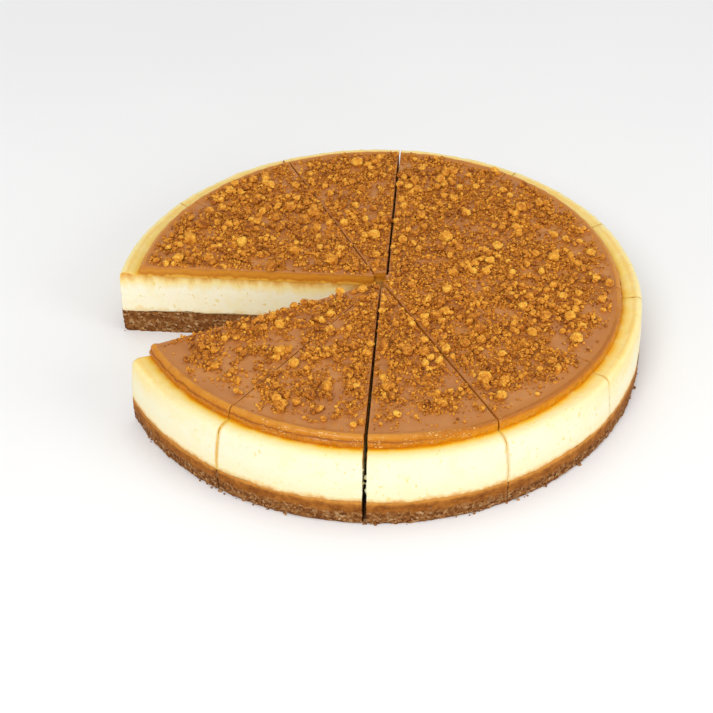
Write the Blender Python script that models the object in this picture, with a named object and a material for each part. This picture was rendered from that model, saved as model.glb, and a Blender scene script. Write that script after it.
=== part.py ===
"""A baked cheesecake, cut into wedges, with one wedge taken out.

Each wedge is three layers: a biscuit base, the baked cheese filling and a caramel topping.
The cake stands on the floor, centred on the origin, with +Z up. The front is -Y, and the
place of the missing wedge opens towards -X. Lengths are in metres, angles in degrees.
"""

from collections import namedtuple
from math import cos, radians, sin, sqrt

import bmesh
import bpy
from mathutils import Vector

MM = 0.001

CAKE_RADIUS = 127 * MM  # a ten-inch tin
BASE_HEIGHT = 12.9 * MM
LAYER_GAP = 0.3 * MM  # the clearance between layers that touch
RIM_HEIGHT = 34.6 * MM  # the filling's top, where the topping ends
RIM_DIP = 0.3 * MM  # how far the filling's top sinks under the topping
TOPPING_RADIUS = 116.6 * MM
TOPPING_HEIGHT = 39.8 * MM
FILLING_FOOT = BASE_HEIGHT + LAYER_GAP
FILLING_TOP = RIM_HEIGHT - RIM_DIP
TOPPING_FOOT = FILLING_TOP + LAYER_GAP
BASE_EDGE = 1.0 * MM  # the base's rounded lower corner
FILLING_EDGE = 0.2 * MM  # how far the filling's foot stands back from the base
ARC_STEPS = 12  # facets along a wedge's outer arc

# The topping's double edge, from its foot over a groove to a raised lip: how far in from the
# topping's radius and how far up from its foot each point is, in millimetres.
TOPPING_EDGE = [
    (0.8, 0.1), (0.0, 0.9), (0.2, 1.8), (1.0, 2.5), (0.9, 3.1),
    (1.2, 4.4), (2.0, 5.5), (3.0, 5.9), (4.2, 5.6), (5.4, 5.2),
]

Rim = namedtuple("Rim", "lean crest rounding")

# The baked rim stands upright at the back and sides, and is low and sloping at the front.
BACK_RIM = Rim(0.8 * MM, 1.0 * MM, 2.2 * MM)
FRONT_RIM = Rim(3.2 * MM, -0.3 * MM, 4.2 * MM)

Cut = namedtuple("Cut", "direction offset inner_gap outer_gap")

# Counter-clockwise, from the cut on the front side of the missing wedge to the one behind it.
# offset is how far the cut passes the cake's centre, to the left as seen going outwards.
CUTS = [
    Cut(205.0, 4.2 * MM, 0.4 * MM, 0.4 * MM),
    Cut(234.7, 3.6 * MM, 0.5 * MM, 0.5 * MM),
    Cut(266.5, 2.0 * MM, 0.8 * MM, 1.8 * MM),
    Cut(296.4, 0.0 * MM, 1.5 * MM, 0.8 * MM),
    Cut(325.5, 0.4 * MM, 0.4 * MM, 0.4 * MM),
    Cut(355.5, -0.4 * MM, 0.4 * MM, 0.4 * MM),
    Cut(384.5, 0.0 * MM, 0.4 * MM, 0.4 * MM),
    Cut(414.8, -2.0 * MM, 0.4 * MM, 0.4 * MM),
    Cut(446.3, -4.5 * MM, 1.2 * MM, 1.2 * MM),
    Cut(474.1, 0.3 * MM, 0.9 * MM, 0.9 * MM),
    Cut(505.3, -0.8 * MM, 0.4 * MM, 0.4 * MM),
    Cut(535.9, -0.9 * MM, 0.4 * MM, 0.4 * MM),
]

# How far from the cake's centre each wedge's crumbled point lies.
TIPS = [6.5, 9.0, 8.8, 5.0, 4.2, 4.2, 6.0, 7.5, 4.3, 4.2, 2.4]

Finish = namedtuple("Finish", "colour roughness metallic")

FINISHES = {
    "biscuit_base": Finish((0.42, 0.21, 0.08), 0.9, 0.0),
    "cheese_filling": Finish((0.95, 0.84, 0.55), 0.6, 0.0),
    "caramel_topping": Finish((0.44, 0.17, 0.06), 0.4, 0.0),
}


def clear_scene():
    for old in list(bpy.data.objects):
        bpy.data.objects.remove(old, do_unlink=True)


def make_material(name):
    finish = FINISHES[name]
    material = bpy.data.materials.new(name)
    material.use_nodes = True
    shader = material.node_tree.nodes["Principled BSDF"]
    shader.inputs["Base Color"].default_value = (*finish.colour, 1.0)
    shader.inputs["Roughness"].default_value = finish.roughness
    shader.inputs["Metallic"].default_value = finish.metallic
    return material


def mix(one, two, share):
    return one + (two - one) * share


def quarter_round(radius, height, rounding, steps=4):
    """(radius, height) points up round an outer top corner, from its side to its top."""
    for step in range(steps + 1):
        turn = radians(90 * step / steps)
        yield radius - rounding * (1 - cos(turn)), height - rounding * (1 - sin(turn))


# Each profile gives (radius, height) points up a layer's outer edge, where front says how
# much that place faces the front, from 0 to 1.


def base_profile(front):
    yield CAKE_RADIUS - BASE_EDGE, 0.0
    yield CAKE_RADIUS, BASE_EDGE
    yield CAKE_RADIUS, BASE_HEIGHT


def filling_profile(front):
    """The wall, the rounded rim, and the flat that carries the topping."""
    rim = Rim(*(mix(back, fore, front) for back, fore in zip(BACK_RIM, FRONT_RIM)))
    top = RIM_HEIGHT + rim.crest
    shoulder = top - rim.rounding
    yield CAKE_RADIUS - FILLING_EDGE, FILLING_FOOT
    yield CAKE_RADIUS - 0.2 * rim.lean, mix(FILLING_FOOT, shoulder, 0.35)
    yield CAKE_RADIUS - 0.55 * rim.lean, mix(FILLING_FOOT, shoulder, 0.7)
    yield from quarter_round(CAKE_RADIUS - rim.lean, top, rim.rounding)
    yield TOPPING_RADIUS + 1.5 * MM, RIM_HEIGHT
    yield TOPPING_RADIUS - 4 * MM, FILLING_TOP


def topping_profile(front):
    for inset, rise in TOPPING_EDGE:
        yield TOPPING_RADIUS - inset * MM, TOPPING_FOOT + rise * MM


# Each layer's underside, outer edge and top.
LAYERS = {
    "biscuit_base": (0.0, base_profile, BASE_HEIGHT),
    "cheese_filling": (FILLING_FOOT, filling_profile, FILLING_TOP),
    "caramel_topping": (TOPPING_FOOT, topping_profile, TOPPING_HEIGHT),
}


def reach(start, direction, radius):
    """How far from start, along direction, the circle of that radius about the origin is."""
    ahead = start.dot(direction)
    return -ahead + sqrt(ahead * ahead - start.length_squared + radius * radius)


def cut_side(cut, turn, tip):
    """Where one side of a cut starts and ends, for the wedge that lies on that side.

    turn is 1 for the wedge counter-clockwise of the cut and -1 for the other one.
    """
    along = Vector((cos(radians(cut.direction)), sin(radians(cut.direction))))
    left = Vector((-along.y, along.x))
    inner = left * (cut.offset + turn * cut.inner_gap / 2)
    outer = left * (cut.offset + turn * cut.outer_gap / 2) + along * CAKE_RADIUS
    direction = (outer - inner).normalized()
    return inner + direction * tip, inner + direction * reach(inner, direction, CAKE_RADIUS)


def wedge_ribs(number):
    """Lines from the wedge's blunt tip to its outer arc, from one cut face to the other.

    Each is its start, its direction, and how much it faces the front, from 0 to 1.
    """
    tip = TIPS[number - 1] * MM
    first_tip, first_end = cut_side(CUTS[number - 1], 1, tip)
    last_tip, last_end = cut_side(CUTS[number], -1, tip)
    for step in range(ARC_STEPS + 1):
        share = step / ARC_STEPS
        start = first_tip.lerp(last_tip, share)
        end = first_end.lerp(last_end, share).normalized() * CAKE_RADIUS
        yield start, (end - start).normalized(), max(0.0, -end.y / CAKE_RADIUS)


def make_layer(name, ribs, layer, parent, material):
    """A closed body: the layer's section stood on every rib and joined rib to rib."""
    bottom, profile, top = LAYERS[layer]
    mesh = bmesh.new()
    sections = []
    for tip, direction, front in ribs:
        points = [(*tip, bottom)]
        for radius, height in profile(front):
            point = tip + direction * reach(tip, direction, radius)
            points.append((*point, height))
        points.append((*tip, top))
        sections.append([mesh.verts.new(point) for point in points])
    for one, two in zip(sections, sections[1:]):
        for index in range(len(one)):
            after = (index + 1) % len(one)
            mesh.faces.new((one[index], two[index], two[after], one[after]))
    mesh.faces.new(sections[0])
    mesh.faces.new(reversed(sections[-1]))
    bmesh.ops.recalc_face_normals(mesh, faces=mesh.faces)
    data = bpy.data.meshes.new(name)
    mesh.to_mesh(data)
    mesh.free()
    data.materials.append(material)
    data.shade_smooth()
    data.set_sharp_from_angle(angle=radians(35))
    body = bpy.data.objects.new(name, data)
    body.parent = parent
    bpy.context.collection.objects.link(body)
    return body


def make_empty(name, parent=None):
    empty = bpy.data.objects.new(name, None)
    empty.empty_display_size = 20 * MM
    empty.parent = parent
    bpy.context.collection.objects.link(empty)
    return empty


def make_wedge(number, cake, materials):
    wedge = make_empty(f"slice_{number:02}", cake)
    ribs = list(wedge_ribs(number))
    for layer in LAYERS:
        make_layer(f"slice_{number:02}_{layer}", ribs, layer, wedge, materials[layer])


def main():
    clear_scene()
    materials = {name: make_material(name) for name in FINISHES}
    cake = make_empty("cheesecake")
    for number in range(1, len(CUTS)):
        make_wedge(number, cake, materials)


main()
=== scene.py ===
"""A baked cheesecake with a caramel topping and biscuit crumbs, cut into wedges.

One wedge is taken out. The layers are swept along upright sections of each slice, the same way
as the solids of the frame, with a finer surface. Run as a script, this makes every piece through
its own operator. Lengths are in metres where nothing else is said.
"""

import math
from collections import namedtuple

import bmesh
import bpy
import numpy as np
from bpy.props import FloatProperty, FloatVectorProperty, IntProperty, PointerProperty
from mathutils import Matrix, Vector, noise


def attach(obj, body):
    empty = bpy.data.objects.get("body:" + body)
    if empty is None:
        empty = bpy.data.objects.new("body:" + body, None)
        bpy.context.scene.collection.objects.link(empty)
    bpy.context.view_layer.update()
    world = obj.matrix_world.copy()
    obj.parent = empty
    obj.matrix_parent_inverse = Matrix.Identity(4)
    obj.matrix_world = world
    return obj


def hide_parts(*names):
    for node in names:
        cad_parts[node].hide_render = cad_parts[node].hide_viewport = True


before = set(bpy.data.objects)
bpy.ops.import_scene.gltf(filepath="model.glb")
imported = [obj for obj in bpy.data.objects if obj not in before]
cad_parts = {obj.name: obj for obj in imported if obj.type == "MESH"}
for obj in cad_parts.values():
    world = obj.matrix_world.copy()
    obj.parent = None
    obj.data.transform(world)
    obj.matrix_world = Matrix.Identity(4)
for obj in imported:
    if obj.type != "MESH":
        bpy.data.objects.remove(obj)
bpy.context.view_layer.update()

bl_info = {
    "name": "Cut Cheesecake",
    "version": (1, 0, 0),
    "blender": (4, 5, 0),
    "location": "3D View > Sidebar > Cheesecake",
    "description": "Makes a baked cheesecake with a caramel topping, cut into wedges",
    "category": "Add Mesh",
}

MM = 0.001

# The cake's outline, as in the frame.
CAKE_RADIUS = 127 * MM
BASE_HEIGHT = 12.9 * MM
LAYER_GAP = 0.3 * MM
RIM_HEIGHT = 34.6 * MM
RIM_DIP = 0.3 * MM  # how far the filling's top sinks under the topping
TOPPING_RADIUS = 116.6 * MM
TOPPING_HEIGHT = 39.8 * MM
FILLING_FOOT = BASE_HEIGHT + LAYER_GAP
FILLING_TOP = RIM_HEIGHT - RIM_DIP
TOPPING_FOOT = FILLING_TOP + LAYER_GAP
BASE_EDGE = 1.0 * MM  # the base's lower corner
FILLING_EDGE = 0.2 * MM  # how far the filling's foot stands back from the base
OVERLAP = 0.25 * MM  # how far a layer reaches down into the one below it

# The topping's side bends over a groove to a raised lip: how far in from its radius and how far
# up from its foot each bend lies, in millimetres.
LIPPED_EDGE = [
    (0.8, 0.1), (0.1, 0.7), (0.0, 1.5), (0.2, 2.6), (0.9, 3.2), (0.9, 3.7),
    (1.1, 4.7), (1.9, 5.5), (2.8, 5.9), (4.0, 5.6), (5.2, 5.2),
]
# The same bends on the right of the front, where the side stands straight and has no lip.
PLAIN_EDGE = [
    (0.5, 0.1), (0.1, 0.7), (0.0, 1.5), (0.1, 2.6), (0.2, 3.2), (0.3, 3.7),
    (0.5, 4.5), (0.9, 5.1), (1.6, 5.35), (3.0, 5.25), (5.2, 5.2),
]
LIP_CREST = 8  # which bend is the lip's crest

# The baked rim: how far it leans in, how far its crest stands above the rim's height, and the
# rounding of its outer corner.
Rim = namedtuple("Rim", "lean crest rounding")
BACK_RIM = Rim(0.8 * MM, 1.0 * MM, 2.2 * MM)
FRONT_RIM = Rim(3.2 * MM, -0.3 * MM, 4.2 * MM)

# Each cut: its direction in degrees, and in millimetres how far it passes to the left of the
# middle and how wide its gap is there and at the rim.
Cut = namedtuple("Cut", "direction offset inner_gap outer_gap")
CUTS = [
    Cut(205.0, 4.2, 0.4, 0.4), Cut(234.7, 3.6, 0.5, 0.5), Cut(266.5, 2.0, 0.8, 1.8),
    Cut(296.4, 0.0, 1.5, 0.8), Cut(325.5, 0.4, 0.4, 0.4), Cut(355.5, -0.4, 0.4, 0.4),
    Cut(384.5, 0.0, 0.4, 0.4), Cut(414.8, -2.0, 0.4, 0.4), Cut(446.3, -4.5, 1.2, 1.2),
    Cut(474.1, 0.3, 0.9, 0.9), Cut(505.3, -0.8, 0.4, 0.4), Cut(535.9, -0.9, 0.4, 0.4),
]
# How strongly the yellow crust is dragged into each cut where it passes the wall. 0 leaves the
# cut open, and 1 hides it.
SMEARS = [0.3, 1.0, 0, 0.55, 0.25, 0.2, 0.2, 0.2, 0, 0, 0.25, 0.3]
# How far from the middle each slice's crumbled point lies, in millimetres.
TIPS = [6.5, 9.0, 8.8, 5.0, 4.2, 4.2, 6.0, 7.5, 4.3, 4.2, 2.4]
SLICES = range(1, len(CUTS))
OPEN_SLICES = (1, len(TIPS))  # the two beside the missing wedge, whose cut faces show

# How far apart the layers' points lie.
STEP = 0.75 * MM
CORNER_STEP = 0.35 * MM
SHOWN_CUT_STEP = 0.9 * MM
HIDDEN_CUT_STEP = 2.5 * MM
EDGE_STEP = 0.45 * MM
LIP_STEP = 0.5 * MM
CORNER_BENDS = 7  # round the rim's outer corner
UNDER_STEPS = 44  # across the filling, under the topping

# Where one part of a surface passes softly into the next.
CRUMBLY_HEIGHT = 5.5 * MM, 9 * MM  # the base is crumbly below, and smooth above
RAGGED_HEIGHT = 0, 1.6 * MM  # the base's foot is ragged below
LEVEL_HEIGHT = 38.6 * MM, 39.4 * MM  # the topping's side ends below, and its level top is above
LIP_RADIUS = 110 * MM, 112 * MM  # the topping's lip lies outside
BED_RADIUS = 111 * MM, 113.5 * MM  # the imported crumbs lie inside
BED_OFF_CUT = 0.1 * MM, 0.7 * MM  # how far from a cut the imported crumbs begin
BED_SHOWS = 0.12 * MM, 0.45 * MM  # how thick they are where their colour begins
PLAIN_BEGINS = 270, 296  # the directions in degrees between which the topping's lip ends
PLAIN_ENDS = 338, 358

FACES_CUT = 0.95  # a point faces its cut where its normal and the cut's agree by more than this
CLOSING = 0.9 * MM  # how far from a cut its dragged crust reaches


# ---------------------------------------------------------------- numbers


def mix(one, two, share):
    return one + (two - one) * share


def smooth(value, low, high):
    """0 below low, 1 above high, with a soft step between them."""
    share = np.clip((value - low) / (high - low), 0, 1)
    return share * share * (3 - 2 * share)


def unit(rows):
    return rows / np.linalg.norm(rows, axis=-1, keepdims=True)


def ripple(points, size, seed):
    """Smooth noise from about -1 to 1 at each point, with bumps about size across."""
    shift = Vector((seed, 2 * seed, 3 * seed))
    return np.array([noise.noise(Vector(point) / size + shift) for point in points])


def spread(length, spacing):
    """Shares from 0 to 1 along length: even steps, with a short one at each end for a crisp corner."""
    steps = max(2, round((length - 2 * CORNER_STEP) / spacing))
    even = np.linspace(CORNER_STEP, length - CORNER_STEP, steps + 1)
    return np.concatenate(([0], even, [length])) / length


def shade(red, green, blue):
    """A colour given in screen values, as the linear colour that materials take."""
    def linear(part):
        part /= 255
        return part / 12.92 if part <= 0.04045 else ((part + 0.055) / 1.055) ** 2.4
    return linear(red), linear(green), linear(blue)


# ---------------------------------------------------------------- sections and slices


def reach(start, along, radius):
    """How far along its direction each rib meets the circle of that radius."""
    ahead = np.sum(start * along, axis=-1)
    return -ahead + np.sqrt(ahead**2 - np.sum(start**2, axis=-1) + radius**2)


def cut_side(cut, turn, tip):
    """The inner and outer end of one side of a cut; turn is 1 on its left and -1 on its right."""
    angle = math.radians(cut.direction)
    along = np.array((math.cos(angle), math.sin(angle)))
    left = np.array((-along[1], along[0]))
    inner = left * (cut.offset + turn * cut.inner_gap / 2) * MM
    outer = left * (cut.offset + turn * cut.outer_gap / 2) * MM + along * CAKE_RADIUS
    direction = unit(outer - inner)
    return inner + direction * tip * MM, inner + direction * reach(inner, direction, CAKE_RADIUS)


def plain_share(places):
    """1 where the topping's side stands straight, and 0 where it has its groove and lip."""
    turn = np.degrees(np.arctan2(places[:, 1], places[:, 0])) % 360
    return smooth(turn, *PLAIN_BEGINS) * (1 - smooth(turn, *PLAIN_ENDS))


class Ribs:
    """The upright sections of one slice, from its first cut to its last."""

    def __init__(self, number, spacing):
        self.shows_cut = number in OPEN_SLICES
        self.cuts = CUTS[number - 1], CUTS[number]
        self.smears = SMEARS[number - 1], SMEARS[number]
        self.sides = [cut_side(cut, turn, TIPS[number - 1]) for cut, turn in zip(self.cuts, (1, -1))]
        (first_tip, first_end), (last_tip, last_end) = self.sides
        share = spread(np.linalg.norm(last_end - first_end), spacing)[:, None]
        self.start = mix(first_tip, last_tip, share)
        end = CAKE_RADIUS * unit(mix(first_end, last_end, share))
        self.along = unit(end - self.start)
        self.front = np.clip(-end[:, 1] / CAKE_RADIUS, 0, None)[:, None]
        self.plain = plain_share(end)[:, None]
        self.count = len(share)

    def reach(self, radius):
        """The distance along each rib of the points at these radii, one row for each rib."""
        start, along = self.start[:, None, :], self.along[:, None, :]
        return reach(start, along, np.broadcast_to(radius, (self.count, np.shape(radius)[-1])))

    def laid(self, profile):
        """A profile of (radius, height) points, with each radius as a distance along its rib."""
        return np.stack((self.reach(profile[..., 0]), profile[..., 1]), axis=-1)

    def places(self, distance, height):
        """Points at that distance along each rib and that height."""
        flat = self.start[:, None, :] + self.along[:, None, :] * distance[..., None]
        return np.concatenate((flat, height[..., None]), axis=-1)

    def from_cuts(self, points):
        """How far each point lies from the slice's first and last cut, and each cut's outward direction."""
        for (tip, end), turn in zip(self.sides, (1, -1)):
            along = unit(end - tip)
            offset = points[:, :2] - tip
            away = np.abs(along[0] * offset[:, 1] - along[1] * offset[:, 0])
            yield away, turn * np.array((along[1], -along[0], 0))

    def from_cut(self, points):
        """How far each point lies from the slice's nearer cut."""
        (first, _), (last, _) = self.from_cuts(points)
        return np.minimum(first, last)


def finer(profile, spacing):
    """A profile of (radius, height) points for each rib, with points every spacing along it."""
    typical = profile.mean(axis=0)
    run = np.concatenate(([0], np.cumsum(np.linalg.norm(np.diff(typical, axis=0), axis=1))))
    at = spread(run[-1], spacing) * run[-1]
    rows = [[np.interp(at, run, rib[:, axis]) for axis in (0, 1)] for rib in profile]
    return np.array(rows).transpose(0, 2, 1)


def profile_rows(ribs, *points):
    """The profile through (radius, height) points, whose parts are numbers or columns, a row for each rib."""
    rows = []
    for point in points:
        rows.append(np.concatenate([np.broadcast_to(value, (ribs.count, 1)) for value in point], axis=1))
    return np.stack(rows, axis=1)


# One layer's points along each rib, as (distance, height): its side from the foot up, its top from
# the tip outwards, and how many of the top's first steps another layer hides.
Section = namedtuple("Section", "side top hidden")


def sheet(low, high, inner, outer, u, v):
    """A grid of points between its four edges, with u the shares along low and v those along inner."""
    u, v = u[:, None, None], v[None, :, None]
    low, high = low[:, None], high[:, None]
    inner, outer = inner[None], outer[None]
    corners = ((1 - u) * (1 - v) * low[:1] + u * (1 - v) * low[-1:]
               + (1 - u) * v * high[:1] + u * v * high[-1:])
    return (1 - v) * low + v * high + (1 - u) * inner + u * outer - corners


def sweep(name, ribs, section):
    """The mesh of one layer of one slice, with an attribute that marks its two cut faces."""
    side, top = section.side, section.top
    columns, levels = top.shape[1] - 1, side.shape[1] - 1
    across = top[..., 0] / top[:, -1:, 0]
    bottom = np.stack((across * side[:, :1, 0], np.broadcast_to(side[:, :1, 1], across.shape)), axis=-1)
    rise = (side[..., 1] - side[:, :1, 1]) / (side[:, -1:, 1] - side[:, :1, 1])
    tip = np.stack((np.zeros_like(rise), mix(bottom[:, :1, 1], top[:, :1, 1], rise)), axis=-1)
    loop = np.concatenate((bottom[:, :-1], side[:, :-1], top[:, :0:-1], tip[:, :0:-1]), axis=1)
    around = loop.shape[1]
    tip_top = 2 * columns + levels  # where the loop turns down to the foot of the tip
    rings = ribs.places(loop[..., 0], loop[..., 1])
    points = [rings.reshape(-1, 3)]
    faces = []

    def ring(rib, step):
        return rib * around + step % around

    # The outer surface, rib by rib, apart from the flat stretches, which are one face each.
    first_hidden = tip_top - section.hidden
    open_steps = [step for step in range(columns, around) if not first_hidden <= step < tip_top]
    for rib in range(ribs.count - 1):
        for step in open_steps:
            faces.append((ring(rib, step), ring(rib, step + 1), ring(rib + 1, step + 1), ring(rib + 1, step)))
    flats = [range(0, columns + 1)]
    if section.hidden:
        flats.append(range(first_hidden, tip_top + 1))
    last = ribs.count - 1
    for flat in flats:
        outline = [ring(0, step) for step in flat]
        outline += [ring(rib, flat[-1]) for rib in range(1, last)]
        outline += [ring(last, step) for step in reversed(flat)]
        outline += [ring(rib, flat[0]) for rib in range(last - 1, 0, -1)]
        faces.append(outline)

    # The two cut faces, each a grid between the loop's four sides.
    total = len(points[0])
    grids = []
    for rib in (0, last):
        face = sheet(bottom[rib], top[rib], tip[rib], side[rib], across[rib], rise[rib])
        inside = face[1:-1, 1:-1].reshape(-1, 2)
        flat = ribs.start[rib] + ribs.along[rib] * inside[:, :1]
        points.append(np.concatenate((flat, inside[:, 1:]), axis=1))
        grid = np.empty((columns + 1, levels + 1), int)
        grid[1:-1, 1:-1] = total + np.arange(len(inside)).reshape(columns - 1, levels - 1)
        total += len(inside)
        grid[:, 0] = [ring(rib, column) for column in range(columns + 1)]
        grid[-1, :] = [ring(rib, columns + level) for level in range(levels + 1)]
        grid[:, -1] = [ring(rib, tip_top - column) for column in range(columns + 1)]
        grid[0, :] = [ring(rib, tip_top + levels - level) for level in range(levels + 1)]
        grids.append(grid)
        quads = np.stack((grid[:-1, :-1], grid[1:, :-1], grid[1:, 1:], grid[:-1, 1:]), axis=-1)
        faces += quads.reshape(-1, 4).tolist()

    mesh = bpy.data.meshes.new(name)
    mesh.from_pydata(np.concatenate(points).tolist(), [], faces)
    on_cut = np.zeros(total)
    for grid in grids:
        on_cut[grid.ravel()] = 1
    on_cut[:len(points[0])].reshape(ribs.count, around)[:, tip_top + 1:] = 1
    write_attribute(mesh, "cut_face", on_cut)
    edit = bmesh.new()
    edit.from_mesh(mesh)
    bmesh.ops.delete(edit, geom=[vert for vert in edit.verts if not vert.link_faces], context="VERTS")
    bmesh.ops.recalc_face_normals(edit, faces=edit.faces)
    edit.to_mesh(mesh)
    edit.free()
    return mesh


def write_attribute(mesh, name, values):
    attribute = mesh.attributes.new(name, "FLOAT", "POINT")
    attribute.data.foreach_set("value", np.asarray(values, np.float32))


def read_attribute(mesh, name):
    values = np.empty(len(mesh.vertices), np.float32)
    mesh.attributes[name].data.foreach_get("value", values)
    return values


def points_and_normals(mesh):
    """The mesh's points and their normals, a row for each."""
    for items, key in ((mesh.vertices, "co"), (mesh.vertex_normals, "vector")):
        values = np.empty(len(items) * 3, np.float32)
        items.foreach_get(key, values)
        yield values.reshape(-1, 3).astype(float)


def write_points(mesh, points):
    mesh.vertices.foreach_set("co", np.asarray(points, np.float32).ravel())
    mesh.update()


def soften(mesh):
    """Rounds off corners by about half a step of the mesh."""
    edit = bmesh.new()
    edit.from_mesh(mesh)
    axes = {"use_axis_x": True, "use_axis_y": True, "use_axis_z": True}
    bmesh.ops.smooth_vert(edit, verts=edit.verts, factor=0.5, **axes)
    edit.to_mesh(mesh)
    edit.free()


def add_piece(name, mesh, material, slot, *nodes):
    """A finished piece, which rides on the cake and stands for those nodes."""
    mesh.materials.append(material)
    piece = bpy.data.objects.new(name, mesh)
    bpy.context.scene.collection.objects.link(piece)
    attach(piece, "root")
    if nodes:
        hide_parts(*nodes)


def make_layers(context, layer, ending, material, section_of, shape):
    """Makes one layer of every slice, from its section and the function that shapes its surface."""
    for number in SLICES:
        node = f"slice_{number:02d}_{layer}"
        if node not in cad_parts:
            raise RuntimeError(f"the frame has no {node}")
        ribs = Ribs(number, context.scene.cheesecake_sizes.rib_spacing)
        mesh = sweep(f"{node}_{ending}", ribs, section_of(ribs))
        shape(mesh, ribs)
        mesh.shade_smooth()
        add_piece(f"{node}_{ending}", mesh, material, layer, node)


# ---------------------------------------------------------------- layers


def seam_height(points):
    """The wavy line where the filling meets the base, as a height above their usual seam."""
    flat = np.concatenate((points[:, :2], np.zeros((len(points), 1))), axis=1)
    waves = 0.7 * ripple(flat, 17 * MM, 3.1) + 0.5 * ripple(flat, 4.2 * MM, 8.2)
    return MM * (waves + 0.3 * ripple(flat, 1.9 * MM, 6.4))


def sides_of_cuts(ribs, points, normals):
    """For each of the slice's two cuts: its gap at the rim in millimetres, its smear, and the way into it.

    Then how far each point lies from that cut, and whether it faces another way than the cut does.
    """
    for cut, smear, (away, outward) in zip(ribs.cuts, ribs.smears, ribs.from_cuts(points)):
        yield cut.outer_gap, smear, outward, away, np.abs(normals @ outward) < FACES_CUT


def base_section(ribs):
    """The base's wall, and its flat top, which the filling hides."""
    bends = (CAKE_RADIUS - BASE_EDGE, 0), (CAKE_RADIUS, BASE_EDGE), (CAKE_RADIUS, BASE_HEIGHT)
    side = ribs.laid(finer(profile_rows(ribs, *bends), STEP))
    length = side[:, -1:, 0]
    across = spread(float(length.mean()), SHOWN_CUT_STEP if ribs.shows_cut else HIDDEN_CUT_STEP)
    top = np.stack((length * across, np.full((ribs.count, len(across)), BASE_HEIGHT)), axis=-1)
    return Section(side, top, len(across) - 1)


def shape_base(mesh, ribs):
    """Roughens the base: coarse low on the wall and on the cut faces, fine above, ragged at its foot."""
    points, normals = points_and_normals(mesh)
    height = points[:, 2]
    low = 1 - smooth(height + 1.5 * MM * ripple(points, 5 * MM, 4.7), *CRUMBLY_HEIGHT)
    cut = read_attribute(mesh, "cut_face")
    coarse = np.maximum(low, 0.8 * cut)
    radius = np.hypot(points[:, 0], points[:, 1])
    outside = np.maximum(smooth(radius, CAKE_RADIUS - 2 * MM, CAKE_RADIUS - 0.5 * MM), cut)
    grain = np.abs(ripple(points, 1.9 * MM, 1.3)) - 0.35
    fine = ripple(points, 0.9 * MM, 5.7)
    wave = ripple(points, 9 * MM, 2.2)
    push = MM * (0.25 * wave + coarse * (0.75 * grain + 0.22 * fine) + (1 - coarse) * 0.08 * fine)
    ragged = (1 - smooth(height, *RAGGED_HEIGHT)) * (0.9 * MM * ripple(points, 2.6 * MM, 9.4) - 0.2 * MM)
    offset = normals * ((push + ragged) * outside)[:, None]
    offset[:, 2] *= height > 0.2 * MM
    for gap, smear, outward, away, on_wall in sides_of_cuts(ribs, points, normals):
        if 0 < smear < 1:
            touch = (1 - smooth(away, 0, CLOSING)) * on_wall * (0.52 + 0.06 * fine)
            offset += outward * (touch * gap * MM)[:, None]
    lift = (seam_height(points) + 0.1 * MM) * smooth(height, 5 * MM, BASE_HEIGHT)
    points += offset
    points[:, 2] = np.maximum(points[:, 2] + lift, 0)
    write_attribute(mesh, "grain", grain + 0.4 * fine)
    write_points(mesh, points)


def filling_section(ribs):
    """The filling's wall with its rounded rim, and the flat that carries the topping."""
    lean = mix(BACK_RIM.lean, FRONT_RIM.lean, ribs.front)
    rounding = mix(BACK_RIM.rounding, FRONT_RIM.rounding, ribs.front)
    crest = RIM_HEIGHT + mix(BACK_RIM.crest, FRONT_RIM.crest, ribs.front)
    shoulder = crest - rounding
    corner = []
    for turn in np.radians(np.linspace(0, 90, CORNER_BENDS)):
        inset, drop = rounding * (1 - math.cos(turn)), rounding * (1 - math.sin(turn))
        corner.append((CAKE_RADIUS - lean - inset, crest - drop))
    wall = profile_rows(
        ribs,
        (CAKE_RADIUS - FILLING_EDGE, BASE_HEIGHT - OVERLAP),
        (CAKE_RADIUS - 0.2 * lean, mix(FILLING_FOOT, shoulder, 0.35)),
        (CAKE_RADIUS - 0.55 * lean, mix(FILLING_FOOT, shoulder, 0.7)),
        *corner,
    )
    ledge = (TOPPING_RADIUS - 4 * MM, FILLING_TOP), (TOPPING_RADIUS + 1.5 * MM, RIM_HEIGHT)
    rim = ribs.laid(finer(profile_rows(ribs, *ledge, corner[-1]), STEP))
    under = np.linspace(0, 1, UNDER_STEPS, endpoint=False)[None] * rim[:, :1, 0]
    under = np.stack((under, np.full(under.shape, FILLING_TOP)), axis=-1)
    return Section(ribs.laid(finer(wall, STEP)), np.concatenate((under, rim), axis=1), UNDER_STEPS)


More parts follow.
